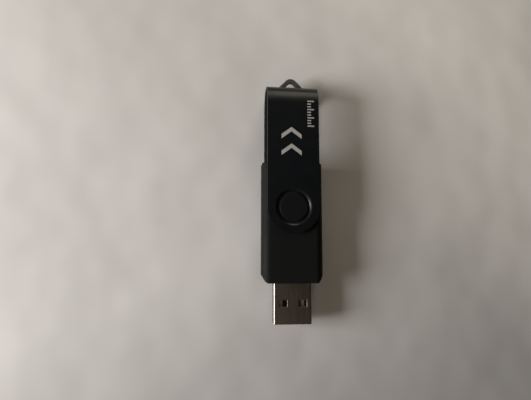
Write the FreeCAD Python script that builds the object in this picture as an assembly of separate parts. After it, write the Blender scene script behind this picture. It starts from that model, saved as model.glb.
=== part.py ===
"""Swivel USB flash drive, in millimetres.

A two-part plastic case holds a circuit board with a USB A plug on its front end. A folded metal clip
turns on a round hub on each face of the case and swings right round it. The clip is modelled swung open,
with its fold behind the case, and a plastic lanyard loop sits in a slot in the fold.

Axes: +X across the case, +Y from the plug towards the fold, +Z up. The drive lies on the clip's lower
plate at Z = 0, and X = Y = 0 is the middle of its length and width. Pieces are drawn about the pivot axis,
and origin_shift moves them all along Y at the end.
"""

import FreeCAD
import Part

import math
import os

Vector = FreeCAD.Vector

# ---- Clip: one strip of sheet, folded into a U
sheet = 0.8  # thickness of the metal
clip_height = 10.4  # over the outsides of both plates
clip_width = 16.7
fold_reach = 40.5  # pivot axis to the outside of the fold
fold_ease = 10.0  # radius of the slack bend where each plate runs into the fold
fold_ease_angle = 22  # degrees that it turns through
pivot_hole = 5.1  # radius of the hole in each plate
hole_bevel_width = 0.7  # shallow countersink round each hole's outer edge
hole_bevel_depth = 0.45
clip_edge = 0.07  # bevel of the stamped outer edges

# ---- Case
case_width = 19.4
case_front = 23.7  # pivot axis to the end that holds the plug
case_rear = 14.6  # pivot axis to the other end
case_gap = 0.3  # air between the case and each plate of the clip
case_wall = 1.2
cavity_corner = 1.0  # upright corners of the space inside
side_round = 2.5  # rounding along the case's long edges
front_round = 0.5  # rounding round the case's two ends
rear_round = 0.6
bevel_across = 1.7  # bevelled corners beside the plug
bevel_along = 2.6
collar_length = 4.0  # solid stretch of the case that grips the plug

# ---- Joint between the two halves of the case
lip_thickness = 0.5
lip_height = 0.8
lip_play = 0.06
snap_height = 0.6
snap_stand_out = 0.18
snap_length = 4.0
snap_places = (-11.0, 6.0)  # along the case, from the pivot

# ---- Hub that the clip turns on, and the button that covers it
hub_play = 0.07  # hub to hole
hub_recess = 0.55  # hub's rim below the outside of the clip
button_radius = 4.5
button_play = 0.03
button_seat = 0.5  # depth of its seat in the hub
button_recess = 0.1  # its top below the outside of the clip
button_edge = 0.3  # width of the shallow bevel round its rim
button_edge_drop = 0.08  # and its depth
stem_radius = 1.5
stem_length = 0.8

# ---- Lanyard loop
loop_thickness = 1.2
loop_half_width = 4.2  # where it leaves the fold
loop_peak = 4.3  # height above the fold at which its two straight legs would meet
loop_peak_round = 2.3
loop_leg = 1.4
loop_edge = 0.3  # bevel along its rims
loop_play = 0.06
eye_round = 1.2
eye_depth = 0.35  # how far the eye runs back into the slot
flange_half_width = 5.2
flange_half_height = 2.2
flange_thickness = 1.5

# ---- USB A plug
plug_width = 12.0
plug_height = 4.5
plug_out = 12.6  # length that shows
plug_in = 6.0  # length inside the case
plug_sheet = 0.3
plug_corner = 0.45
plug_play = 0.05
plug_lip = 0.12
seam_width = 0.08
key_neck = 1.0  # dovetail keys that lock the seam
key_head = 1.6
key_depth = 1.1
key_places = (4.5, 9.0)  # from the plug's mouth
window_width = 2.7
window_length = 2.0
window_pitch = 6.2
window_from_mouth = 5.4
window_edge = 0.06  # bevel round each window's outer edge
ear_length = 2.4  # the two soldered ears
ear_rise = 1.0
ear_drop = 0.6

# ---- Plug's tongue and contacts
tongue_play = 0.06
tongue_setback = 0.9
base_length = 4.0
contact_width = 1.0
contact_thickness = 0.3
contact_proud = 0.05
contact_dip = 0.35
tail_length = 2.2
outer_contact = 3.5  # from the middle of the plug
inner_contact = 1.0
long_contact_start = 1.7  # from the plug's mouth
short_contact_start = 2.7

# ---- Circuit board
board_thickness = 1.0
board_side_gap = 0.8
board_front_gap = 0.1
board_rear_gap = 0.4
board_corner = 0.8
slot_play = 0.1
pin_radius = 0.7
pin_play = 0.1
pin_foot = 2.4  # side of the square foot that the board rests on
pin_from_side = 1.6
pin_from_rear = 1.5
pin_above_board = 0.4
ledge_length = 3.0
ledge_overlap = 0.6
ledge_places = (-13.5, 4.5)
rib_play = 0.05  # air between the hold-down ribs and the board
rib_overlap = 1.0
rib_length = 2.0

# ---- Chips: body length, width, height, gap under the body, and leads
flash_length = 18.4
flash_width = 12.0
flash_height = 1.0
flash_clear = 0.5  # behind its rear leads, before the locating pins' holes
flash_pitch = 0.5
flash_lead = 0.22
flash_leads_a_side = 24
flash_foot = 0.8
controller_size = 7.0
controller_height = 1.0
controller_at = -6.5
controller_pitch = 0.5
controller_lead = 0.22
controller_leads_a_side = 12
controller_foot = 1.0
chip_standoff = 0.1
chip_edge = 0.15
lead_thickness = 0.15

# ---- Small parts of the board
crystal_length = 5.0
crystal_width = 3.2
crystal_base = 0.7
crystal_lid = 0.4
crystal_rim = 0.35
crystal_off_middle = 2.8  # left of the board's middle line
regulator_length = 2.9
regulator_width = 1.3
regulator_height = 1.0
regulator_leg = 0.4
regulator_reach = 0.55
regulator_pitch = 0.95
regulator_at = 5.5  # along the board, from the pivot
chip_part_length = 1.6  # resistors, capacitors and the lamp
chip_part_width = 0.8
cap_height = 0.8
resistor_height = 0.45
lamp_height = 0.6
terminal_length = 0.3
chip_part_pitch = 1.1
column_gap = 1.1  # between the crystal, the capacitors and the resistors
lamp_from_rear = 1.1
solder_leg = 0.45

# ---- Worked out from the sizes above
middle = clip_height / 2  # height of the parting line, the plug and the loop
fold_turn = math.radians(fold_ease_angle)
fold_radius = fold_ease - (fold_ease - middle) / math.cos(fold_turn)  # tighter bend, outside
fold_centre = fold_reach - fold_radius
fold_start = fold_centre - (fold_ease - fold_radius) * math.sin(fold_turn)  # end of the flat plates
clip_half = clip_width / 2
case_half = case_width / 2
case_bottom = sheet + case_gap
case_top = clip_height - case_bottom
hub_radius = pivot_hole - hub_play
hub_top = clip_height - hub_recess
cavity_front = -case_front + collar_length
cavity_rear = case_rear - case_wall
cavity_half = case_half - case_wall
floor_top = case_bottom + case_wall
ceiling = case_top - case_wall
plug_mouth = -case_front - plug_out
plug_back = -case_front + plug_in
plug_half = plug_width / 2
board_top = middle - contact_thickness + contact_proud
board_bottom = board_top - board_thickness
board_half = cavity_half - board_side_gap
board_front = plug_back + board_front_gap
board_rear = cavity_rear - board_rear_gap
pin_across = board_half - pin_from_side
pin_along = board_rear - pin_from_rear
flash_rear = pin_along - pin_radius - pin_play - flash_clear
flash_at = flash_rear - flash_foot - flash_length / 2
tails_end = board_front + tail_length
capacitors_at = -crystal_off_middle + crystal_length / 2 + column_gap + chip_part_length / 2
resistors_at = capacitors_at + chip_part_length + column_gap
front_row = (tails_end + flash_at - flash_length / 2 - flash_foot) / 2  # between the tails and the flash
loop_lean = math.atan2(loop_half_width, loop_peak)  # each leg's angle from the middle line
loop_reach = loop_peak - loop_peak_round * (1 / math.sin(loop_lean) - 1)
origin_shift = (case_front + plug_out - fold_reach - loop_reach) / 2


# ---------------------------------------------------------------- shapes that repeat


def block(x0, x1, y0, y1, z0, z1):
    """Plain box between two corners."""
    return Part.makeBox(x1 - x0, y1 - y0, z1 - z0, Vector(x0, y0, z0))


def rod(radius, z0, z1, x=0.0, y=0.0):
    """Upright cylinder."""
    return Part.makeCylinder(radius, z1 - z0, Vector(x, y, z0))


def flat(u, v):
    """A point of an outline that is drawn from above."""
    return Vector(u, v, 0)


def upright(u, v):
    """A point of an outline that is drawn from the plug's end: u across, v up."""
    return Vector(u, 0, v)


def sideways(u, v):
    """A point of an outline that is drawn from the side: u along the case, v up."""
    return Vector(0, u, v)


def outline(corners, place):
    """Closed face through (u, v, radius) corners, each corner rounded by a tangent arc of its radius."""
    count = len(corners)
    starts, ends, middles = [], [], []
    for i, (u, v, radius) in enumerate(corners):
        here = Vector(u, v, 0)
        back = Vector(corners[i - 1][0], corners[i - 1][1], 0) - here
        ahead = Vector(corners[(i + 1) % count][0], corners[(i + 1) % count][1], 0) - here
        back.normalize()
        ahead.normalize()
        half_angle = back.getAngle(ahead) / 2
        setback = radius / math.tan(half_angle)
        inward = back + ahead
        inward.normalize()
        starts.append(here + back * setback)
        ends.append(here + ahead * setback)
        middles.append(here + inward * (radius / math.sin(half_angle) - radius))
    edges = []
    for i in range(count):
        if corners[i][2] > 0:
            points = [place(p.x, p.y) for p in (starts[i], middles[i], ends[i])]
            edges.append(Part.Arc(*points).toShape())
        after = starts[(i + 1) % count]
        if (after - ends[i]).Length > 1e-6:
            edges.append(Part.makeLine(place(ends[i].x, ends[i].y), place(after.x, after.y)))
    return Part.Face(Part.Wire(edges))


def rectangle(half_width, low, high, radius):
    """Corners of a rectangle about the middle line, for outline()."""
    return [
        (-half_width, low, radius),
        (half_width, low, radius),
        (half_width, high, radius),
        (-half_width, high, radius),
    ]


def rounded_bar(half_width, height, radius, y0, y1):
    """Bar along Y about the middle height, with a rounded rectangle for its section."""
    section = outline(rectangle(half_width, middle - height / 2, middle + height / 2, radius), upright)
    bar = section.extrude(Vector(0, y1 - y0, 0))
    bar.translate(Vector(0, y0, 0))
    return bar


def slab(corners, z0, z1):
    """Plate with an outline drawn from above."""
    plate = outline(corners, flat).extrude(Vector(0, 0, z1 - z0))
    plate.translate(Vector(0, 0, z0))
    return plate


def turned(points):
    """Solid of revolution about Z from a closed profile of (radius, height) points."""
    wire = Part.makePolygon([upright(r, z) for r, z in points + points[:1]])
    return Part.Face(wire).revolve(Vector(0, 0, 0), Vector(0, 0, 1), 360)


def flipped(shape):
    """The same piece on the other face of the drive, turned over about its long middle line."""
    return shape.rotated(Vector(0, 0, middle), Vector(0, 1, 0), 180)


def join(shapes):
    """One solid from several that touch."""
    return shapes[0].multiFuse(shapes[1:]).removeSplitter()


# ---------------------------------------------------------------- clip and loop


def folded_bar(inset, start, half_width):
    """Solid with the clip's side view: flat faces from start, then the fold, all set in by inset."""
    ease = fold_ease - inset
    tight = fold_radius - inset
    rise = middle - inset

    def eased(angle, side):
        """Point of the slack bend at this angle, above or below the middle height."""
        return sideways(
            fold_start + ease * math.sin(angle), middle + side * (rise - ease * (1 - math.cos(angle)))
        )

    def bend(side):
        """Slack bend from a flat face to the tighter bend."""
        return Part.Arc(eased(0, side), eased(fold_turn / 2, side), eased(fold_turn, side)).toShape()

    tip = Part.Arc(eased(fold_turn, -1), sideways(fold_centre + tight, middle), eased(fold_turn, 1))
    top = middle + rise
    bottom = middle - rise
    edges = [
        Part.makeLine(sideways(start, bottom), eased(0, -1)),
        bend(-1),
        tip.toShape(),
        bend(1),
        Part.makeLine(eased(0, 1), sideways(start, top)),
        Part.makeLine(sideways(start, top), sideways(start, bottom)),
    ]
    bar = Part.Face(Part.Wire(Part.sortEdges(edges)[0])).extrude(Vector(2 * half_width, 0, 0))
    bar.translate(Vector(-half_width, 0, 0))
    return bar


def swivel_clip():
    """The folded strip: plates with round ends, a fold that eases into them, pivot holes, the loop's slot."""
    tall = clip_height
    outside = folded_bar(0, -clip_half, clip_half)
    strip = outside.cut(folded_bar(sheet, -clip_half - 1, clip_half + 1))
    round_ends = block(-clip_half, clip_half, 0, fold_reach, 0, tall).fuse(rod(clip_half, 0, tall))
    clip = strip.common(round_ends).removeSplitter()
    clip = clip.makeChamfer(clip_edge, stamped_edges(clip, outside))
    clip = clip.cut(rod(pivot_hole, 0, tall))
    bevel = Part.makeCone(
        pivot_hole,
        pivot_hole + hole_bevel_width,
        hole_bevel_depth,
        Vector(0, 0, tall - hole_bevel_depth),
    )
    clip = clip.cut(bevel).cut(flipped(bevel))
    slot_half = loop_half_width + loop_play
    slot_low = middle - loop_thickness / 2 - loop_play
    slot_high = middle + loop_thickness / 2 + loop_play
    slot = outline(rectangle(slot_half, slot_low, slot_high, loop_edge), upright)
    slot = slot.extrude(Vector(0, fold_radius, 0))
    slot.translate(Vector(0, fold_centre + fold_radius / 2, 0))
    return clip.cut(slot)


def stamped_edges(clip, outside):
    """The outer edges of the strip, on both long sides and round both ends."""
    skin = [f for f in outside.Faces if f.BoundBox.XLength > clip_half and f.BoundBox.YLength > 1e-6]
    found = []
    for edge in clip.Edges:
        point = edge.valueAt((edge.FirstParameter + edge.LastParameter) / 2)
        on_rim = abs(abs(point.x) - clip_half) < 1e-4 or point.y < -1e-4
        on_skin = min(f.distToShape(Part.Vertex(point))[0] for f in skin) < 1e-4
        if on_rim and on_skin:
            found.append(edge)
    return found


def lanyard_loop():
    """Triangular eye outside the fold, a neck through the slot and a flange that holds it from inside."""
    flange_back = fold_centre + fold_radius - sheet - flange_thickness
    low = middle - loop_thickness / 2
    high = middle + loop_thickness / 2
    leg_run = loop_leg / math.sin(loop_lean)
    eye_base = fold_reach - eye_depth
    eye_peak = fold_reach + loop_peak - leg_run
    eye_half = (eye_peak - eye_base) * math.tan(loop_lean)
    frame = slab(
        [
            (-loop_half_width, flange_back + flange_thickness / 2, 0),
            (loop_half_width, flange_back + flange_thickness / 2, 0),
            (loop_half_width, fold_reach, 0),
            (0, fold_reach + loop_peak, loop_peak_round),
            (-loop_half_width, fold_reach, 0),
        ],
        low,
        high,
    )
    rims = [e for e in frame.Edges if e.BoundBox.ZLength < 1e-6 and e.BoundBox.YLength > 1e-6]
    frame = frame.makeChamfer(loop_edge, rims)
    eye = slab(
        [
            (-eye_half, eye_base, eye_round / 2),
            (eye_half, eye_base, eye_round / 2),
            (0, eye_peak, eye_round),
        ],
        low - 1,
        high + 1,
    )
    barrel = folded_bar(sheet + loop_play, 0, flange_half_width)
    flange = barrel.common(
        block(
            -flange_half_width,
            flange_half_width,
            flange_back,
            fold_reach,
            middle - flange_half_height,
            middle + flange_half_height,
        )
    )
    return join([frame.cut(eye), flange])


# ---------------------------------------------------------------- case


def case_form():
    """Outer form of the closed case: a rounded bar with eased ends and bevelled corners by the plug."""
    form = rounded_bar(case_half, case_top - case_bottom, side_round, -case_front, case_rear)
    for end, radius in ((-case_front, front_round), (case_rear, rear_round)):
        rim = [e for e in form.Edges if e.BoundBox.YLength < 1e-6 and abs(e.BoundBox.YMin - end) < 1e-4]
        form = form.makeFillet(radius, rim)
    for side in (-1, 1):
        inner = side * (case_half - bevel_across)
        outer = side * (case_half + bevel_across)
        corner = [
            (inner, -case_front, 0),
            (inner, -case_front - bevel_along, 0),
            (outer, -case_front - bevel_along, 0),
            (outer, -case_front + 2 * bevel_along, 0),
        ]
        form = form.cut(slab(corner, 0, clip_height))
    return form


def cavity():
    """Room for the board: the case's form, one wall thickness in, behind the collar."""
    bar = rounded_bar(cavity_half, ceiling - floor_top, side_round - case_wall, cavity_front, cavity_rear)
    plan = slab(rectangle(cavity_half, cavity_front, cavity_rear, cavity_corner), floor_top, ceiling)
    return bar.common(plan)


def plug_tunnel():
    """Opening in the collar, one play larger than the plug."""
    return rounded_bar(
        plug_half + plug_play, plug_height + 2 * plug_play, plug_corner, -case_front - 1, cavity_front + 1
    )


def snap_ridge(side, place, play):
    """Wedge on the outside of the lip that clicks into the same shape cut in the other half."""
    root = side * (cavity_half + lip_thickness - lip_play)
    crest = side * (cavity_half + lip_thickness + snap_stand_out + play)
    centre = middle + lip_height / 2
    corners = [
        (root, centre - snap_height / 2 - play, 0),
        (crest, centre - snap_height / 6 - play, 0),
        (crest, centre + snap_height / 6 + play, 0),
        (root, centre + snap_height / 2 + play, 0),
    ]
    ridge = outline(corners, upright).extrude(Vector(0, snap_length + 2 * play, 0))
    ridge.translate(Vector(0, place - play, 0))
    return ridge


def lip(play):
    """Rib round the cavity's rim that centres one half in the other; play makes the groove for it."""
    outer = lip_thickness + play
    ring = slab(
        rectangle(cavity_half + outer, cavity_front - outer, cavity_rear + outer, cavity_corner),
        middle - lip_height / 2,
        middle + lip_height + play,
    )
    hollow = slab(rectangle(cavity_half, cavity_front, cavity_rear, cavity_corner), 0, clip_height)
    collar = block(-plug_half - case_wall, plug_half + case_wall, -case_front, cavity_front, 0, clip_height)
    ridges = [snap_ridge(side, place, play) for side in (-1, 1) for place in snap_places]
    return join([ring.cut(collar)] + ridges).cut(hollow)


def hub():
    """Bearing on the upper face that the clip's hole turns on, before its seat is cut."""
    return rod(hub_radius, ceiling, hub_top)


def button_seat_cut():
    """Round seat and stem hole in the hub for the button."""
    seat = rod(button_radius + button_play, hub_top - button_seat, hub_top + 1)
    depth = button_seat + stem_length + button_play
    return seat.fuse(rod(stem_radius + button_play, hub_top - depth, hub_top))


def half_case(upper):
    """One empty half of the case with its hub, cut at the parting line."""
    form = case_form()
    keep = block(-case_half, case_half, -case_front, case_rear, middle, case_top)
    half = join([form.common(keep if upper else flipped(keep)), hub() if upper else flipped(hub())])
    seat = button_seat_cut() if upper else flipped(button_seat_cut())
    return half.cut(seat).cut(cavity()).cut(plug_tunnel())


def ledges():
    """Four ledges that the board lies on, rooted in the middle of the side walls' thickness."""
    half_wall = case_wall / 2
    inside_walls = rounded_bar(
        case_half - half_wall,
        case_top - case_bottom - case_wall,
        side_round - half_wall,
        -case_front,
        case_rear,
    )
    made = []
    for side in (-1, 1):
        inner = side * (board_half - ledge_overlap)
        outer = side * case_half
        for place in ledge_places:
            ledge = block(
                min(inner, outer), max(inner, outer), place, place + ledge_length, case_bottom, board_bottom
            )
            made.append(ledge.common(inside_walls))
    return made


def locating_pins():
    """Two pins on square feet that pass through the board near its rear end."""
    made = []
    for side in (-1, 1):
        x = side * pin_across
        y = pin_along
        foot = pin_foot / 2
        made.append(block(x - foot, x + foot, y - foot, y + foot, floor_top - case_wall / 2, board_bottom))
        made.append(rod(pin_radius, board_bottom, board_top + pin_above_board, x, y))
    return made


def lower_shell():
    """Lower half: carries the lip, the board's ledges and its locating pins."""
    return join([half_case(False), lip(0)] + ledges() + locating_pins())


def hold_down_ribs():
    """Four ribs that hang from the upper half and hold the board down over the ledges."""
    made = []
    for side in (-1, 1):
        inner = side * (board_half - rib_overlap)
        outer = side * board_half
        for place in ledge_places:
            centre = place + ledge_length / 2
            made.append(
                block(
                    min(inner, outer),
                    max(inner, outer),
                    centre - rib_length / 2,
                    centre + rib_length / 2,
                    board_top + rib_play,
                    ceiling + case_wall / 2,
                )
            )
    return made


def upper_shell():
    """Upper half: carries the groove for the lip and the hold-down ribs."""
    return join([half_case(True).cut(lip(lip_play))] + hold_down_ribs())


def pivot_button():
    """Round cover pressed into the upper hub: a flat face with a shallow bevel round it, and a stem."""
    top = clip_height - button_recess
    seat = hub_top - button_seat
    return turned(
        [
            (0, top),
            (button_radius - button_edge, top),
            (button_radius, top - button_edge_drop),
            (button_radius, seat),
            (stem_radius, seat),
            (stem_radius, seat - stem_length),
            (0, seat - stem_length),
        ]
    )


# ---------------------------------------------------------------- plug


def plug_shell():
    """Folded steel tube with four latch windows, a keyed seam underneath and two ears for the board."""
    length = plug_out + plug_in
    tube = rounded_bar(plug_half, plug_height, plug_corner, plug_mouth, plug_back)
    mouth = [
        e
        for e in tube.Edges
        if abs(e.BoundBox.YMin - plug_mouth) < 1e-4 and abs(e.BoundBox.YMax - plug_mouth) < 1e-4
    ]
    tube = tube.makeChamfer(plug_lip, mouth)
    bore = rounded_bar(
        plug_half - plug_sheet,
        plug_height - 2 * plug_sheet,
        plug_corner - plug_sheet,
        plug_mouth - 1,
        plug_back + 1,
    )
    tube = tube.cut(bore)
    near = plug_mouth + window_from_mouth
    for side in (-1, 1):
        centre = side * window_pitch / 2
        half = window_width / 2
        window = block(centre - half, centre + half, near, near + window_length, 0, clip_height)
        tube = tube.cut(window)
    tube = tube.makeChamfer(window_edge, window_rims(tube, near)).cut(seam(length))
    ears = []
    for side in (-1, 1):
        inner = side * (plug_half - plug_sheet)
        outer = side * plug_half
        ears.append(
            block(
                min(inner, outer),
                max(inner, outer),
                plug_back - plug_sheet,
                plug_back + ear_length,
                board_bottom - ear_drop,
                board_top + ear_rise,
            )
        )
    return join([tube] + ears)


def window_rims(tube, near):
    """The outer edges of the four windows."""
    found = []
    for edge in tube.Edges:
        box = edge.BoundBox
        on_face = abs(abs((box.ZMin + box.ZMax) / 2 - middle) - plug_height / 2) < 1e-4
        in_band = near - 1e-3 < box.YMin and box.YMax < near + window_length + 1e-3
        if on_face and in_band:
            found.append(edge)
    return found


def seam(length):
    """Thin slit along the underside where the folded sheet meets, stepping round each dovetail key."""
    bottom = middle - plug_height / 2
    path = [(0.0, plug_mouth - 1)]
    for key in key_places:
        y = plug_mouth + key
        path += [
            (0.0, y - key_neck / 2),
            (key_depth, y - key_head / 2),
            (key_depth, y + key_head / 2),
            (0.0, y + key_neck / 2),
        ]
    path.append((0.0, plug_mouth + length + 1))
    cuts = []
    for (x0, y0), (x1, y1) in zip(path, path[1:]):
        run = math.hypot(x1 - x0, y1 - y0)
        half = seam_width / 2
        strip = block(-half, half, -half, run + half, 0, 2 * plug_sheet)
        strip.rotate(Vector(0, 0, 0), Vector(0, 0, 1), -math.degrees(math.atan2(x1 - x0, y1 - y0)))
        strip.translate(Vector(x0, y0, bottom - plug_sheet / 2))
        cuts.append(strip)
    return join(cuts)


def contact(x, start):
    """One contact: a flat strip on the tongue with its tip bent in, ending in a tail on the board."""
    low = board_top
    high = low + contact_thickness
    front = plug_mouth + start
    bend = front + contact_thickness * 2
    back = tails_end
    profile = Part.makePolygon(
        [
            sideways(front, low - contact_dip),
            sideways(bend, low),
            sideways(back, low),
            sideways(back, high),
            sideways(bend, high),
            sideways(front, high - contact_dip),
            sideways(front, low - contact_dip),
        ]
    )
    strip = Part.Face(profile).extrude(Vector(contact_width, 0, 0))
    strip.translate(Vector(x - contact_width / 2, 0, 0))
    return strip


def contacts():
    """The four contacts by name, in the order that they cross the plug."""
    return {
        "contact_power": contact(outer_contact, long_contact_start),
        "contact_data_minus": contact(inner_contact, short_contact_start),
        "contact_data_plus": contact(-inner_contact, short_contact_start),
        "contact_ground": contact(-outer_contact, long_contact_start),
    }


def plug_insulator():
    """Plastic tongue under the contacts, and the base that fills the back of the plug."""
    low = middle - plug_height / 2 + plug_sheet + tongue_play
    high = middle + plug_height / 2 - plug_sheet - tongue_play
    half = plug_half - plug_sheet - tongue_play
    corner = plug_corner - plug_sheet
    tongue_corners = [
        (-half, low, corner),
        (half, low, corner),
        (half, middle, 0),
        (-half, middle, 0),
    ]
    tongue = outline(tongue_corners, upright).extrude(
        Vector(0, plug_back - plug_mouth - tongue_setback, 0)
    )
    tongue.translate(Vector(0, plug_mouth + tongue_setback, 0))
    base = rounded_bar(half, high - low, corner, plug_back - base_length, plug_back)
    return join([tongue, base]).cut(Part.makeCompound(list(contacts().values())))


# ---------------------------------------------------------------- board


def circuit_board():
    """Board with two slots for the plug's ears and two holes for the locating pins."""
    board = slab(rectangle(board_half, board_front, board_rear, board_corner), board_bottom, board_top)
    cuts = []
    for side in (-1, 1):
        inner = side * (plug_half - plug_sheet - slot_play)
        outer = side * (plug_half + slot_play)
        cuts.append(
            block(
                min(inner, outer),
                max(inner, outer),
                board_front - 1,
                plug_back + ear_length + slot_play,
                board_bottom - 1,
                board_top + 1,
            )
        )
        cuts.append(
            rod(
                pin_radius + pin_play,
                board_bottom - 1,
                board_top + 1,
                side * pin_across,
                pin_along,
            )
        )
    return board.cut(Part.makeCompound(cuts))


def chip_body(x, y, width, length, height, under):
    """Moulded chip package standing a little off the board, on its top or its underside."""
    low = board_bottom - chip_standoff - height if under else board_top + chip_standoff
    body = block(x - width / 2, x + width / 2, y - length / 2, y + length / 2, low, low + height)
    return body.makeChamfer(chip_edge, [e for e in body.Edges if e.BoundBox.ZLength < 1e-6])


def gull_lead(height, foot, width, under):
    """Bent lead from the origin, at half height on a chip's side, sloping along +Y down to its flat foot."""
    drop = chip_standoff + height / 2
    t = lead_thickness
    points = [
        (0, t / 2),
        (foot / 2, t - drop),
        (foot, t - drop),
        (foot, -drop),
        (foot / 2 - t, -drop),
        (0, -t / 2),
    ]
    sign = -1 if under else 1
    wire = Part.makePolygon([sideways(u, sign * v) for u, v in points + points[:1]])
    lead = Part.Face(wire).extrude(Vector(width, 0, 0))
    lead.translate(Vector(-width / 2, 0, 0))
    return lead


def lead_row(count, pitch, lead, turn, x, y, z, reach):
    """Row of leads on the side of a chip at (x, y): turn is the side's bearing, reach its distance."""
    row = []
    for i in range(count):
        one = lead.copy()
        one.translate(Vector((i - (count - 1) / 2) * pitch, reach, 0))
        one.rotate(Vector(0, 0, 0), Vector(0, 0, 1), turn)
        one.translate(Vector(x, y, z))
        row.append(one)
    return row


def flash_leads():
    """Leads on the flash memory's two short ends."""
    lead = gull_lead(flash_height, flash_foot, flash_lead, False)
    z = board_top + chip_standoff + flash_height / 2
    rows = []
    for turn in (0, 180):
        rows += lead_row(
            flash_leads_a_side, flash_pitch, lead, turn, 0, flash_at, z, flash_length / 2
        )
    return rows


def controller_leads():
    """Leads on the controller's four sides, under the board."""
    lead = gull_lead(controller_height, controller_foot, controller_lead, True)
    z = board_bottom - chip_standoff - controller_height / 2
    rows = []
    for turn in (0, 90, 180, 270):
        rows += lead_row(
            controller_leads_a_side, controller_pitch, lead, turn, 0, controller_at, z, controller_size / 2
        )
    return rows


def crystal():
    """Timing crystal: ceramic base with a metal lid inset from its rim."""
    x = -crystal_off_middle
    y = front_row
    base = block(
        x - crystal_length / 2,
        x + crystal_length / 2,
        y - crystal_width / 2,
        y + crystal_width / 2,
        board_top,
        board_top + crystal_base,
    )
    lid = block(
        x - crystal_length / 2 + crystal_rim,
        x + crystal_length / 2 - crystal_rim,
        y - crystal_width / 2 + crystal_rim,
        y + crystal_width / 2 - crystal_rim,
        board_top + crystal_base,
        board_top + crystal_base + crystal_lid,
    )
    return base, lid


def voltage_regulator():
    """Three-leg regulator under the board: two legs on one side, one on the other."""
    x = 0
    y = regulator_at
    body = chip_body(x, y, regulator_length, regulator_width, regulator_height, True)
    lead = gull_lead(regulator_height, regulator_reach, regulator_leg, True)
    z = board_bottom - chip_standoff - regulator_height / 2
    legs = lead_row(2, 2 * regulator_pitch, lead, 0, x, y, z, regulator_width / 2)
    legs += lead_row(1, regulator_pitch, lead, 180, x, y, z, regulator_width / 2)
    return [body] + legs


def chip_part_column(x, height):
    """Three small parts in a column beside the crystal."""
    return [s for i in (-1, 0, 1) for s in chip_part(x, front_row + i * chip_part_pitch, height)]


def chip_part(x, y, height):
    """Small part between two plated ends, standing on the board."""
    half = chip_part_length / 2
    wide = chip_part_width / 2
    top = board_top + height
    body = block(x - half + terminal_length, x + half - terminal_length, y - wide, y + wide, board_top, top)
    left = block(x - half, x - half + terminal_length, y - wide, y + wide, board_top, top)
    right = block(x + half - terminal_length, x + half, y - wide, y + wide, board_top, top)
    return [body, left, right]


def ear_solder():
    """Solder fillet along the inner side of each ear, on the board's top."""
    fillets = []
    for side in (-1, 1):
        x = side * (plug_half - plug_sheet)
        wire = Part.makePolygon(
            [
                upright(x, board_top),
                upright(x - side * solder_leg, board_top),
                upright(x, board_top + solder_leg),
                upright(x, board_top),
            ]
        )
        fillet = Part.Face(wire).extrude(Vector(0, ear_length - 2 * slot_play, 0))
        fillet.translate(Vector(0, plug_back + 2 * slot_play, 0))
        fillets.append(fillet)
    return fillets


# ---------------------------------------------------------------- the assembly


def assembly():
    """Every node of the drive, by name, as a list of its solids."""
    memory = chip_body(0, flash_at, flash_width, flash_length, flash_height, False)
    chip = chip_body(0, controller_at, controller_size, controller_size, controller_height, True)
    crystal_body, crystal_cover = crystal()
    nodes = {
        "swivel_clip": [swivel_clip()],
        "lanyard_loop": [lanyard_loop()],
        "upper_shell": [upper_shell()],
        "lower_shell": [lower_shell()],
        "upper_pivot_button": [pivot_button()],
        "lower_pivot_button": [flipped(pivot_button())],
        "plug_shell": [plug_shell()],
        "plug_insulator": [plug_insulator()],
        "circuit_board": [circuit_board()],
        "flash_memory": [memory],
        "flash_memory_leads": flash_leads(),
        "controller": [chip],
        "controller_leads": controller_leads(),
        "crystal_base": [crystal_body],
        "crystal_lid": [crystal_cover],
        "voltage_regulator": voltage_regulator(),
        "capacitors": chip_part_column(capacitors_at, cap_height),
        "resistors": chip_part_column(resistors_at, resistor_height),
        "status_lamp": chip_part(0, board_rear - lamp_from_rear, lamp_height),
        "ear_solder": ear_solder(),
    }
    for name, strip in contacts().items():
        nodes[name] = [strip]
    return nodes


def main():
    """Writes one STEP file per node, with the drive centred on the origin."""
    os.makedirs("parts", exist_ok=True)
    for name, solids in assembly().items():
        shape = Part.makeCompound([s for piece in solids for s in piece.Solids])
        shape.translate(Vector(0, origin_shift, 0))
        if len(shape.Solids) == 1:
            shape = shape.Solids[0]
        shape.exportStep("parts/" + name + ".step")
        box = shape.BoundBox
        print(
            "%-20s solids %3d  volume %9.3f  valid %s  Y %.2f..%.2f  Z %.2f..%.2f"
            % (
                name,
                len(shape.Solids),
                shape.Volume,
                shape.isValid(),
                box.YMin,
                box.YMax,
                box.ZMin,
                box.ZMax,
            )
        )


main()
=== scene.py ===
# %% [markdown]
# # A swivel flash drive
#
# The drive is a flat black plastic case with a steel plug at one end. A folded strip of coated
# metal turns round it on a button in the middle. In the photograph the strip is swung open, and the
# drive lies on white paper beside a window.
#
# The solids come ready made, at their real size. This lesson gives them their finishes, adds the
# print on the strip, and sets up the paper, the light and the camera. All lengths are in metres, so
# a millimetre gets a name of its own.

import math

import bmesh
import bpy
from mathutils import Matrix, Vector


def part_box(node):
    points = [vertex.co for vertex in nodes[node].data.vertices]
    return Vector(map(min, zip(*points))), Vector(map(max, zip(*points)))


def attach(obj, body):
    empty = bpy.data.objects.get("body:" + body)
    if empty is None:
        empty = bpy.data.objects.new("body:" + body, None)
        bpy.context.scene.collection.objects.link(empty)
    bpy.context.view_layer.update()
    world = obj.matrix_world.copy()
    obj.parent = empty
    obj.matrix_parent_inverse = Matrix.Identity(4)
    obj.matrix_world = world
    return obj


MM = 0.001

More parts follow.
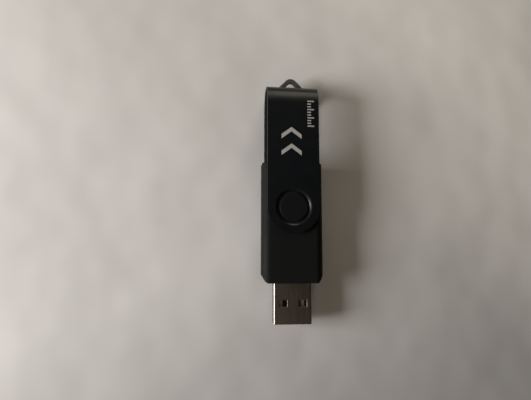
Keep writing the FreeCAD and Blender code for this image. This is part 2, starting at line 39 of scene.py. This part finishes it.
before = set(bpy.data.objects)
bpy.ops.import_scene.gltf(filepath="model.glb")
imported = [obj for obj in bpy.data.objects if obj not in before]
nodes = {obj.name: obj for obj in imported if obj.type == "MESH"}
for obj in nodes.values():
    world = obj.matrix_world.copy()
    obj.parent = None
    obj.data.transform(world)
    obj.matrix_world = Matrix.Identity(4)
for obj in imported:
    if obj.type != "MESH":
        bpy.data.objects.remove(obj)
bpy.context.view_layer.update()
print("solids:", len(nodes))


# %% [markdown]
# ## Where things are
#
# A size that is typed in twice is sooner or later wrong once. So nothing here repeats a size that
# the solids already have: the button gives the place of the pivot, and the strip gives its own top
# and the height of its middle.

# %% Places read from the solids
button_low, button_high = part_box("upper_pivot_button")
strip_low, strip_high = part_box("swivel_clip")
pivot = (button_low + button_high) / 2
strip_top = strip_high.z
strip_middle = (strip_low.z + strip_high.z) / 2
print("pivot at y = %.2f mm, strip's top at z = %.2f mm" % (pivot.y / MM, strip_top / MM))


# %% [markdown]
# ## Eased edges
#
# No real edge is a perfect corner: a moulded one has a small round, and a stamped one is tumbled
# smooth. The round is far too small to see as a shape, but it catches a thread of light, and that
# thread is what makes a black object readable. The rounds could be built into the solids, but they
# would make them heavy, so modifiers make them here. A Weld joins the loose triangles, a Bevel
# rounds what turns by more than 28 degrees, and Weighted Normal keeps the flat faces flat.

# %% A helper that eases edges
SAME_POINT = 0.0005 * MM  # corners closer than this are one corner
SHARP_EDGE = math.radians(28)
ROUND_STEPS = 2


def ease_edges(name, width):
    piece = nodes[name]
    weld = piece.modifiers.new("join_triangles", "WELD")
    weld.merge_threshold = SAME_POINT
    bevel = piece.modifiers.new("ease_edges", "BEVEL")
    bevel.width = width
    bevel.segments = ROUND_STEPS
    bevel.limit_method = "ANGLE"
    bevel.angle_limit = SHARP_EDGE
    bevel.use_clamp_overlap = True
    normals = piece.modifiers.new("keep_flats_flat", "WEIGHTED_NORMAL")
    normals.keep_sharp = False
    for face in piece.data.polygons:
        face.use_smooth = True
    print("%s: edges eased by %.2f mm" % (name, width / MM))


# %% [markdown]
# ## Finishes
#
# A finish is a colour, a gloss and a fine relief, and on a real thing none of the three is quite
# even. An image could carry that unevenness, but it needs an unwrapped surface and is only as sharp
# as its pixels. A noise on Object coordinates needs no unwrapping, is sharp at any distance and
# stays put on the piece, so nearly every finish below is made with noises.
#
# The first helpers ask a point of the surface where it is and which way it faces, and do sums with
# the answers.

# %% Helpers for places, directions and sums
EVENLY = (1.0, 1.0, 1.0)


def new_material(name):
    material = bpy.data.materials.new(name)
    material.use_nodes = True
    tree = material.node_tree
    return material, tree, tree.nodes["Principled BSDF"]


def object_place(tree):
    return tree.nodes.new("ShaderNodeTexCoord").outputs["Object"]


def face_direction(tree):
    return tree.nodes.new("ShaderNodeNewGeometry").outputs["True Normal"]


def one_axis(tree, vector, axis):
    split = tree.nodes.new("ShaderNodeSeparateXYZ")
    tree.links.new(vector, split.inputs["Vector"])
    return split.outputs[axis]


def how_far_along(tree, vector, direction):
    dot = tree.nodes.new("ShaderNodeVectorMath")
    dot.operation = "DOT_PRODUCT"
    dot.inputs[1].default_value = direction
    tree.links.new(vector, dot.inputs[0])
    return dot.outputs["Value"]


def calculate(tree, operation, first, second=0.0):
    sum_node = tree.nodes.new("ShaderNodeMath")
    sum_node.operation = operation
    for socket, value in zip(sum_node.inputs, (first, second)):
        if isinstance(value, float):
            socket.default_value = value
        else:
            tree.links.new(value, socket)
    return sum_node.outputs["Value"]


# %% [markdown]
# The next helpers make a noise, spread a value between two others, mix two colours, and turn a
# noise into gloss or relief.

# %% Helpers for noise, colour, gloss and relief
NOISE_LOW = 0.3  # nearly all values of a noise lie between these two
NOISE_HIGH = 0.7


def object_noise(tree, scale, detail, stretch=EVENLY):
    mapping = tree.nodes.new("ShaderNodeMapping")
    mapping.inputs["Scale"].default_value = stretch
    noise = tree.nodes.new("ShaderNodeTexNoise")
    noise.inputs["Scale"].default_value = scale
    noise.inputs["Detail"].default_value = detail
    tree.links.new(object_place(tree), mapping.inputs["Vector"])
    tree.links.new(mapping.outputs["Vector"], noise.inputs["Vector"])
    return noise.outputs["Fac"]


def spread(tree, value, low, high, to_low=0.0, to_high=1.0, curve="LINEAR"):
    ramp = tree.nodes.new("ShaderNodeMapRange")
    ramp.interpolation_type = curve
    ramp.inputs["From Min"].default_value = low
    ramp.inputs["From Max"].default_value = high
    ramp.inputs["To Min"].default_value = to_low
    ramp.inputs["To Max"].default_value = to_high
    tree.links.new(value, ramp.inputs["Value"])
    return ramp.outputs["Result"]


def mix_colours(tree, factor, first, second):
    mix = tree.nodes.new("ShaderNodeMix")
    mix.data_type = "RGBA"
    tree.links.new(factor, mix.inputs["Factor"])
    for socket, colour in (("A", first), ("B", second)):
        if isinstance(colour, tuple):
            mix.inputs[socket].default_value = (*colour, 1.0)
        else:
            tree.links.new(colour, mix.inputs[socket])
    return mix.outputs["Result"]


def uneven_gloss(tree, noise, smoothest, roughest):
    return spread(tree, noise, NOISE_LOW, NOISE_HIGH, smoothest, roughest)


def relief(tree, shader, height, depth, strength):
    bump = tree.nodes.new("ShaderNodeBump")
    bump.inputs["Strength"].default_value = strength
    bump.inputs["Distance"].default_value = depth
    tree.links.new(height, bump.inputs["Height"])
    tree.links.new(bump.outputs["Normal"], shader.inputs["Normal"])


# %% [markdown]
# Most finishes of the drive are clouded: one noise moves the colour and the gloss together, and a
# finer one gives the grain, where there is any. One function makes them all, so such a finish is
# only a list of numbers. Shine is how strongly a plastic mirrors, and 0.5 is what the shader has
# when nothing is set.
#
# The second helper takes off what a piece came with and dresses it in a finish.

# %% The clouded finish, and dressing pieces
USUAL_SHINE = 0.5


def clouded(
    name,
    scale,
    detail,
    dark,
    light,
    smoothest,
    roughest,
    stretch=EVENLY,
    metal=0.0,
    shine=USUAL_SHINE,
    grain=None,
):
    material, tree, shader = new_material(name)
    cloud = object_noise(tree, scale, detail, stretch)
    tree.links.new(mix_colours(tree, cloud, dark, light), shader.inputs["Base Color"])
    gloss = uneven_gloss(tree, cloud, smoothest, roughest)
    tree.links.new(gloss, shader.inputs["Roughness"])
    shader.inputs["Metallic"].default_value = metal
    shader.inputs["Specular IOR Level"].default_value = shine
    if grain:
        fine = object_noise(tree, grain["scale"], grain["detail"])
        relief(tree, shader, fine, grain["depth"], grain["strength"])
    return material


def dress(names, material):
    for name in names:
        piece = nodes[name]
        piece.data.materials.clear()
        piece.data.materials.append(material)
    print(material.name, "on", ", ".join(names))


# %% [markdown]
# ## Coated metal of the strip
#
# The strip is thin steel with a satin black coating, with a hint of blue. The coating is slightly
# uneven in gloss, as a sprayed coat is. A metallic shader could be darkened until it looks right,
# but the coat hides the metal, so a plain shader with a very dark colour is closer.
#
# The inner faces are painted a lighter grey. This is painted light for the light that reaches into
# the gap between the plates. The material finds them by itself: they are the faces that look
# towards the strip's middle height.

# %% Strip's coating
OUTER_COAT = (0.0037, 0.0046, 0.0059), (0.0049, 0.0060, 0.0077)  # its dark and its light
# the inner faces' dark and light, painted lighter as painted light in the gap
INNER_PAINTED_LIGHT = (0.020, 0.020, 0.021), (0.030, 0.030, 0.031)


def facing_inwards(tree):
    above_middle = calculate(
        tree, "SUBTRACT", one_axis(tree, object_place(tree), "Z"), strip_middle
    )
    upwards = one_axis(tree, face_direction(tree), "Z")
    outwards = calculate(tree, "MULTIPLY", above_middle, upwards)
    return calculate(tree, "LESS_THAN", outwards, 0.0)


def strip_coating():
    material, tree, shader = new_material("strip_coating")
    cloud = object_noise(tree, scale=260, detail=4)
    outside = mix_colours(tree, cloud, *OUTER_COAT)
    # painted light on the inner faces
    inside_painted_light = mix_colours(tree, cloud, *INNER_PAINTED_LIGHT)
    # the coat, with the painted light on its inner faces
    coat = mix_colours(tree, facing_inwards(tree), outside, inside_painted_light)
    gloss = uneven_gloss(tree, cloud, smoothest=0.30, roughest=0.36)
    tree.links.new(coat, shader.inputs["Base Color"])
    tree.links.new(gloss, shader.inputs["Roughness"])
    shader.inputs["Specular IOR Level"].default_value = 0.3
    spray = object_noise(tree, scale=5200, detail=2)
    relief(tree, shader, spray, depth=0.004 * MM, strength=0.5)
    return material


dress(["swivel_clip"], strip_coating())
ease_edges("swivel_clip", 0.05 * MM)


# %% [markdown]
# ## Moulded case
#
# The case is moulded in black plastic against a finely sparked tool, so its skin is matt, with a
# grain of about a tenth of a millimetre. Grain that fine would take millions of faces as a shape,
# so it is relief in the material. A slower noise clouds the colour and the gloss.

# %% Case plastic
case_plastic = clouded(
    "case_plastic",
    scale=180,
    detail=3,
    dark=(0.0046, 0.0053, 0.0053),
    light=(0.0062, 0.0071, 0.0071),
    smoothest=0.64,
    roughest=0.74,
    shine=0.15,
    grain={"scale": 9000, "detail": 2, "depth": 0.012 * MM, "strength": 0.6},
)
shells = ["upper_shell", "lower_shell"]
dress(shells, case_plastic)
for name in shells:
    ease_edges(name, 0.1 * MM)


# %% [markdown]
# ## Smooth plastic of the buttons and the loop
#
# The two pivot buttons and the lanyard loop come from smooth tools, so they have a faint ripple
# where the case has grain. The buttons are black and satin, and the loop is a dark grey with more
# gloss. Handling leaves both a little smeared, and a stretched noise gives the smears. They could
# share one finish, but the loop is plainly lighter in the photograph.

# %% Button and loop plastic
SMEARED = (1.0, 0.5, 1.0)  # the smears are twice as long as wide
ripple = {"scale": 2600, "detail": 2, "depth": 0.003 * MM, "strength": 0.4}
smooth = {"scale": 420, "detail": 3, "stretch": SMEARED, "grain": ripple}

button_plastic = clouded(
    "button_plastic",
    dark=(0.0064, 0.0066, 0.0071),
    light=(0.0082, 0.0085, 0.0091),
    smoothest=0.45,
    roughest=0.52,
    shine=0.12,
    **smooth,
)
loop_plastic = clouded(
    "loop_plastic",
    dark=(0.052, 0.052, 0.053),
    light=(0.064, 0.064, 0.065),
    smoothest=0.34,
    roughest=0.44,
    **smooth,
)
buttons = ["upper_pivot_button", "lower_pivot_button"]
dress(buttons, button_plastic)
dress(["lanyard_loop"], loop_plastic)
for name in buttons:
    ease_edges(name, 0.02 * MM)


# %% [markdown]
# ## Steel of the plug
#
# The plug's shell is folded from plated sheet steel. Rolling leaves a faint grain along the sheet,
# and plugging in adds fine scratches in the same direction, so the noise is stretched along the
# plug. The steel is a little warm, as nickel plate is.
#
# The sheared edges round the mouth and the windows are duller than the rolled faces, and the folded
# sides are half as dull. Both are also painted darker, the sides by half as much. This is a painted
# shade that holds back the glint of these edges and corners. The shell could be cut into several
# pieces for that, but a material can tell the faces apart: a dulled face doesn't face straight up
# or down, and a sheared one isn't near the plug's sides either.

# %% Plug steel
ALONG_THE_PLUG = (1.0, 0.04, 1.0)  # 25 times as long as wide
NEAR_THE_SIDES = 5.4 * MM  # from the middle line of the plug
STRAIGHT_UP = 0.95  # of a full upward direction
SIDES_AS_DULL_AND_SHADED = 0.5  # as the sheared edges
DULLER_BY = 0.25  # in roughness
# painted shade: the colour that darkens the sheared edges, and the folded sides by half, against
# their glint
PAINTED_SHADE_ON_STEEL = (0.17, 0.155, 0.14)
ROLLED_STEEL = (0.47, 0.445, 0.42), (0.555, 0.53, 0.505)  # its dark and its light


# where the steel is duller, and where painted shade darkens it
def dulled_and_shaded_faces(tree):
    across = calculate(tree, "ABSOLUTE", one_axis(tree, object_place(tree), "X"))
    upright = calculate(tree, "ABSOLUTE", one_axis(tree, face_direction(tree), "Z"))
    off_sides = calculate(tree, "LESS_THAN", across, NEAR_THE_SIDES)
    turned_away = calculate(tree, "LESS_THAN", upright, STRAIGHT_UP)
    sheared = calculate(tree, "MULTIPLY", off_sides, turned_away)
    both = calculate(tree, "ADD", sheared, turned_away)
    return calculate(tree, "MULTIPLY", both, SIDES_AS_DULL_AND_SHADED)


def plug_steel():
    material, tree, shader = new_material("plug_steel")
    grain = object_noise(tree, scale=3000, detail=4, stretch=ALONG_THE_PLUG)
    cloud = object_noise(tree, scale=300, detail=3)
    dulled_and_shaded = dulled_and_shaded_faces(tree)
    rolled = mix_colours(tree, cloud, *ROLLED_STEEL)
    # the rolled steel, with painted shade on its sheared edges and folded sides
    steel = mix_colours(tree, dulled_and_shaded, rolled, PAINTED_SHADE_ON_STEEL)
    satin = uneven_gloss(tree, grain, smoothest=0.20, roughest=0.28)
    dulling = calculate(tree, "MULTIPLY", dulled_and_shaded, DULLER_BY)
    tree.links.new(steel, shader.inputs["Base Color"])
    tree.links.new(calculate(tree, "ADD", satin, dulling), shader.inputs["Roughness"])
    shader.inputs["Metallic"].default_value = 1.0
    relief(tree, shader, grain, depth=0.002 * MM, strength=0.05)
    return material


dress(["plug_shell"], plug_steel())
ease_edges("plug_shell", 0.01 * MM)


# %% [markdown]
# ## Inside the plug
#
# Black plastic carries four gold-plated contacts. Two of them show through the shell's windows.
# Gold plate on such contacts is thin and pale, and sockets rub it lengthways, so its noise is
# stretched as the steel's is. Relief would be lost in there, so neither finish has any.

# %% Insulator and contacts
RUBBED_LENGTHWAYS = (1.0, 0.05, 1.0)

insulator_plastic = clouded(
    "insulator_plastic",
    scale=500,
    detail=3,
    dark=(0.040, 0.040, 0.040),
    light=(0.055, 0.055, 0.055),
    smoothest=0.4,
    roughest=0.5,
)
dress(["plug_insulator"], insulator_plastic)

contact_gold = clouded(
    "contact_gold",
    scale=2500,
    detail=3,
    dark=(0.80, 0.72, 0.56),
    light=(0.90, 0.83, 0.68),
    smoothest=0.36,
    roughest=0.48,
    stretch=RUBBED_LENGTHWAYS,
    metal=1.0,
)
contacts = ["contact_power", "contact_data_minus", "contact_data_plus", "contact_ground"]
dress(contacts, contact_gold)


# %% [markdown]
# ## The circuit board
#
# The closed case hides the board, but it is there, and somebody may take the case off. Its green is
# a varnish over copper: where a track runs underneath, it is lighter and stands a little higher.
# Real tracks could be drawn one by one. Nobody will read them here, so thin bands of a wave pattern
# stand for them.

# %% Board varnish
OVER_BOARD = (0.006, 0.075, 0.03)
OVER_COPPER = (0.02, 0.16, 0.06)


def board_varnish():
    material, tree, shader = new_material("board_varnish")
    tracks = tree.nodes.new("ShaderNodeTexWave")
    tracks.bands_direction = "X"
    tracks.inputs["Scale"].default_value = 260
    tracks.inputs["Distortion"].default_value = 5.0
    tracks.inputs["Detail"].default_value = 1.0
    tracks.inputs["Detail Scale"].default_value = 0.4
    tree.links.new(object_place(tree), tracks.inputs["Vector"])
    copper = spread(tree, tracks.outputs["Fac"], low=0.62, high=0.7)
    varnish = mix_colours(tree, copper, OVER_BOARD, OVER_COPPER)
    tree.links.new(varnish, shader.inputs["Base Color"])
    shader.inputs["Roughness"].default_value = 0.3
    relief(tree, shader, copper, depth=0.02 * MM, strength=0.6)
    return material


dress(["circuit_board"], board_varnish())


# %% [markdown]
# ## What is on the board
#
# Chips are moulded epoxy, which is filled with ground quartz and so looks faintly speckled. Leads,
# solder and the crystal's lid are metal, and the crystal's base is ceramic. Each could have a
# careful finish of its own, but at this size a speck is all that tells them from flat paint, so one
# table of colours, speck sizes and roughnesses makes them all.

# %% Chips, leads, solder and crystal
ROUGHNESS_VARIES_BY = 0.05

# the pieces, then their finish: name, dark, light, scale of the specks, roughness, metal
speckled = [
    (
        ["flash_memory", "controller", "voltage_regulator"],
        ("chip_epoxy", (0.012, 0.012, 0.013), (0.026, 0.026, 0.027), 4000, 0.55, 0.0),
    ),
    (
        ["flash_memory_leads", "controller_leads"],
        ("tinned_leads", (0.55, 0.55, 0.53), (0.72, 0.72, 0.7), 3000, 0.3, 1.0),
    ),
    (["ear_solder"], ("solder", (0.6, 0.6, 0.58), (0.78, 0.78, 0.76), 2500, 0.24, 1.0)),
    (
        ["crystal_base"],
        ("crystal_ceramic", (0.30, 0.24, 0.16), (0.40, 0.33, 0.24), 3500, 0.6, 0.0),
    ),
    (
        ["crystal_lid"],
        ("crystal_lid_plate", (0.62, 0.61, 0.58), (0.74, 0.73, 0.70), 2200, 0.28, 1.0),
    ),
]
for names, (finish, dark, light, scale, roughness, metal) in speckled:
    material = clouded(
        finish,
        scale=scale,
        detail=4,
        dark=dark,
        light=light,
        smoothest=roughness - ROUGHNESS_VARIES_BY,
        roughest=roughness + ROUGHNESS_VARIES_BY,
        metal=metal,
    )
    dress(names, material)


# %% [markdown]
# ## Parts with tinned ends
#
# A capacitor, a resistor or the lamp is a small bar with a metal cap on each end. Each node holds
# whole bars, so there are no separate caps to dress, and the material has to find them by itself:
# it measures how far a point is from the middle of its node, across the board, and turns to tin
# past a set distance.

# %% Tinned ends
TIN = (0.66, 0.66, 0.64)
CAP_FROM = 0.5 * MM


def tinned_bar(name, node, dark, light):
    material, tree, shader = new_material(name)
    low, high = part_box(node)
    middle = (low.x + high.x) / 2
    across = one_axis(tree, object_place(tree), "X")
    from_middle = calculate(tree, "ABSOLUTE", calculate(tree, "SUBTRACT", across, middle))
    cap = calculate(tree, "GREATER_THAN", from_middle, CAP_FROM)
    speck = object_noise(tree, scale=3500, detail=3)
    body = mix_colours(tree, speck, dark, light)
    tree.links.new(mix_colours(tree, cap, body, TIN), shader.inputs["Base Color"])
    tree.links.new(cap, shader.inputs["Metallic"])
    shader.inputs["Roughness"].default_value = 0.38
    return material


# the dark and the light of each bar's body
bars = {
    "capacitors": ((0.26, 0.17, 0.10), (0.34, 0.24, 0.15)),
    "resistors": ((0.012, 0.012, 0.014), (0.024, 0.024, 0.028)),
    "status_lamp": ((0.62, 0.66, 0.58), (0.74, 0.78, 0.7)),
}
for node, (dark, light) in bars.items():
    dress([node], tinned_bar(node + "_finish", node, dark, light))


# %% [markdown]
# ## Print on the strip
#
# The strip carries a little pale grey print. Here it is two plain patterns that mean nothing: a
# pair of bold chevrons near the middle line, and a short row of ticks by the right edge.
#
# Print could be a pattern in the strip's material. A layer of its own is simpler to place, and ink
# from a printing pad does stand up by about a hundredth of a millimetre, so each mark is a very
# thin plate on the coating. It starts as a few vertices, is filled with a face, and is extruded by
# the thickness of the ink. The print rides on the strip's body, so it turns with the strip.

# %% Print sizes
INK = 0.012 * MM
chevron_span = 6.5 * MM  # across the strip
chevron_rise = 2.4 * MM  # from its feet to its point
chevron_stroke = 1.15 * MM
chevron_places = [pivot.y + 16.45 * MM, pivot.y + 21.85 * MM]
chevron_middle = -0.65 * MM
tick_at = 5.65 * MM  # the middle of a long tick, right of the strip's middle line
tick_long = 2.2 * MM
tick_short = 1.2 * MM
tick_width = 0.42 * MM
tick_first = pivot.y + 25.95 * MM
tick_pitch = 0.92 * MM
tick_count = 10
long_tick_every = 3


# %% Print helpers
def printed_plate(build, corners, bottom):
    ring = [build.verts.new((x, y, bottom)) for x, y in corners]
    face = build.faces.new(ring)
    out = bmesh.ops.extrude_face_region(build, geom=[face])
    lifted = [v for v in out["geom"] if isinstance(v, bmesh.types.BMVert)]
    bmesh.ops.translate(build, verts=lifted, vec=(0, 0, INK))
    bmesh.ops.recalc_face_normals(build, faces=build.faces)


def printed_piece(name, build, material):
    mesh = bpy.data.meshes.new(name)
    build.to_mesh(mesh)
    build.free()
    piece = bpy.data.objects.new(name, mesh)
    bpy.context.scene.collection.objects.link(piece)
    mesh.materials.append(material)
    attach(piece, "swivel_cover")
    print(name, len(mesh.polygons), "faces")


pale_ink = clouded(
    "pale_ink",
    scale=1500,
    detail=4,
    dark=(0.34, 0.33, 0.31),
    light=(0.48, 0.47, 0.45),
    smoothest=0.5,
    roughest=0.65,
)


# %% Chevrons
build = bmesh.new()
half = chevron_span / 2
stroke_along = chevron_stroke * math.hypot(half, chevron_rise) / half
for start in chevron_places:
    corners = [
        (chevron_middle - half, start),
        (chevron_middle, start + chevron_rise),
        (chevron_middle + half, start),
        (chevron_middle + half, start + stroke_along),
        (chevron_middle, start + chevron_rise + stroke_along),
        (chevron_middle - half, start + stroke_along),
    ]
    printed_plate(build, corners, strip_top)
printed_piece("printed_chevrons", build, pale_ink)


# %% Ticks
build = bmesh.new()
left = tick_at - tick_long / 2
for i in range(tick_count):
    right = left + (tick_long if i % long_tick_every == 0 else tick_short)
    near = tick_first + i * tick_pitch
    far = near + tick_width
    printed_plate(build, [(left, near), (right, near), (right, far), (left, far)], strip_top)
printed_piece("printed_ticks", build, pale_ink)


# %% [markdown]
# ## Paper
#
# The drive lies on plain white paper, a flat sheet far larger than the view. Real paper is never
# quite flat, and a mesh could be pushed into waves, but the drive would then float over some and
# sink into others. So the sheet stays flat, and its soft undulations are relief.
#
# Its colour is slightly warm and clouded. Over that, a painted shade darkens it towards the lower
# right and a painted light brightens it towards the upper right.

# %% Paper
paper_reach = 3.0  # from the middle of the sheet to each side
build = bmesh.new()
bmesh.ops.create_grid(build, x_segments=1, y_segments=1, size=paper_reach)
paper_mesh = bpy.data.meshes.new("paper")
build.to_mesh(paper_mesh)
build.free()
paper = bpy.data.objects.new("paper", paper_mesh)
bpy.context.scene.collection.objects.link(paper)
print("paper, m:", [round(side, 3) for side in paper.dimensions])

# %% Paper's finish
material, tree, shader = new_material("paper_white")
cloud = object_noise(tree, scale=22, detail=4)
white_dark = (0.64, 0.62, 0.60)
white_light = (0.70, 0.68, 0.66)
paper_tone_and_painted_light = mix_colours(tree, cloud, white_dark, white_light)
# which way, where it starts, where it is complete, and the colour there
painted_light_and_shade = [
    # painted shade towards the lower right
    ((0.35, -0.94, 0.0), 12 * MM, 80 * MM, (0.44, 0.43, 0.42)),
    # painted light towards the upper right
    ((0.72, 0.69, 0.0), 25 * MM, 80 * MM, (0.86, 0.84, 0.81)),
]
for direction, start, end, colour in painted_light_and_shade:
    way = how_far_along(tree, object_place(tree), direction)
    # the painted shade and painted light laid over the paper's colour
    paper_tone_and_painted_light = mix_colours(tree, spread(tree, way, start, end), paper_tone_and_painted_light, colour)
tree.links.new(paper_tone_and_painted_light, shader.inputs["Base Color"])
shader.inputs["Roughness"].default_value = 0.85
shader.inputs["Specular IOR Level"].default_value = 0.2
undulations = object_noise(tree, scale=26, detail=2)
relief(tree, shader, undulations, depth=2.2 * MM, strength=0.7)
paper_mesh.materials.append(material)


# %% [markdown]
# ## Lamps
#
# The photograph's light is a window on the left, low enough to throw a soft shadow to the right,
# and a much weaker, yellower one beyond the top edge, which draws the bright band along the fold.
# A lamp of no size would throw a hard shadow. An area lamp has a size, as a window has, so each
# window is one area lamp that is turned to the drive.

# %% Lamps
drive_middle = Vector((0.0, 0.0, 0.0))

# place, width, height, watts and colour
windows = {
    "left_window": ((-0.400, -0.050, 0.156), 0.19, 0.18, 2.48, (1.0, 0.98, 0.968)),
    "far_window": ((0.075, 0.35, 0.195), 0.135, 0.15, 0.245, (1.0, 0.96, 0.76)),
}
for name, (place, width, height, watts, colour) in windows.items():
    lamp = bpy.data.lights.new(name, "AREA")
    lamp.shape = "RECTANGLE"
    lamp.size = width
    lamp.size_y = height
    lamp.energy = watts
    lamp.color = colour
    holder = bpy.data.objects.new(name, lamp)
    bpy.context.scene.collection.objects.link(holder)
    holder.location = place
    aim = (drive_middle - Vector(place)).to_track_quat("-Z", "Y")
    holder.rotation_euler = aim.to_euler()
    print("%s: %.0f cm from the drive" % (name, 100 * Vector(place).length))


# %% [markdown]
# ## Room
#
# A black object shows little more than what it mirrors, so the room round it matters. A model of
# the room could stand there, but the drive mirrors it dimly, and shows only where it is light and
# where it is dark. So the world's background is a few soft patches, each laid over the one before:
# a dim warm room that is lighter on the left, a glow between the two windows, a fainter light above
# the far one, and a dark patch overhead, a little to the right. That last patch is what the flat
# black faces and the plug's flat top mirror, so they show almost no glare, as in the photograph.

# %% Room
world = bpy.data.worlds.new("room")
bpy.context.scene.world = world
world.use_nodes = True
tree = world.node_tree
background = tree.nodes["Background"]
look = tree.nodes.new("ShaderNodeTexCoord").outputs["Generated"]

dark_side = (0.024, 0.0155, 0.0105)
# which way, how near to it a patch starts (1 is straight at it) and is complete, and its colour
patches = [
    ((-0.86, -0.50, 0.0), -0.25, 0.2, (0.142, 0.111, 0.084)),
    ((-0.80, 0.50, 0.33), 0.45, 1.0, (0.17, 0.152, 0.132)),
    ((0.05, 0.70, 0.71), 0.55, 1.0, (0.112, 0.104, 0.092)),
    ((0.41, 0.05, 0.911), 0.92, 0.985, (0.008, 0.006, 0.005)),
]
room = dark_side
for direction, start, end, colour in patches:
    near = how_far_along(tree, look, direction)
    patch = spread(tree, near, start, end, curve="SMOOTHSTEP")
    room = mix_colours(tree, patch, room, colour)
tree.links.new(room, background.inputs["Color"])
print("patches of light and dark:", len(patches))


# %% [markdown]
# ## Camera
#
# The camera was held above the drive and a little to its left, some 14 cm over the paper. It could
# be placed by eye, but a few degrees of tilt change how the sides show. So its place and turn were
# found by matching the drive's straight edges and the ring round its button. The three angles turn
# the room into the camera's view, so the camera itself takes the opposite turn.

# %% Camera
focal_px = 410.0  # for an image 531 pixels wide
image_px = 531.0
sensor = 36.0  # millimetres wide, as the lens is in millimetres
nearest_seen = 0.01  # nothing nearer to the lens is drawn
tilt = [math.radians(angle) for angle in (-6.96, 6.39, -0.92)]
camera_data = bpy.data.cameras.new("camera")
camera_data.sensor_width = sensor
camera_data.lens = sensor * focal_px / image_px
camera_data.clip_start = nearest_seen
camera = bpy.data.objects.new("camera", camera_data)
bpy.context.scene.collection.objects.link(camera)
room_to_view = (
    Matrix.Rotation(tilt[2], 3, "Z")
    @ Matrix.Rotation(tilt[1], 3, "Y")
    @ Matrix.Rotation(tilt[0], 3, "X")
)
camera_place = Vector((-23.16 * MM, pivot.y - 13.35 * MM, 136.09 * MM))
camera.matrix_world = Matrix.Translation(camera_place) @ room_to_view.transposed().to_4x4()
bpy.context.scene.camera = camera
bpy.context.scene.view_settings.view_transform = "Standard"
print("camera %.0f mm over the paper, lens %.1f mm" % (camera_place.z / MM, camera_data.lens))


# %% [markdown]
# ## Last update
#
# Finishes must not change how big the drive is. At the end the view layer is brought up to date.

# %% Done
bpy.context.view_layer.update()
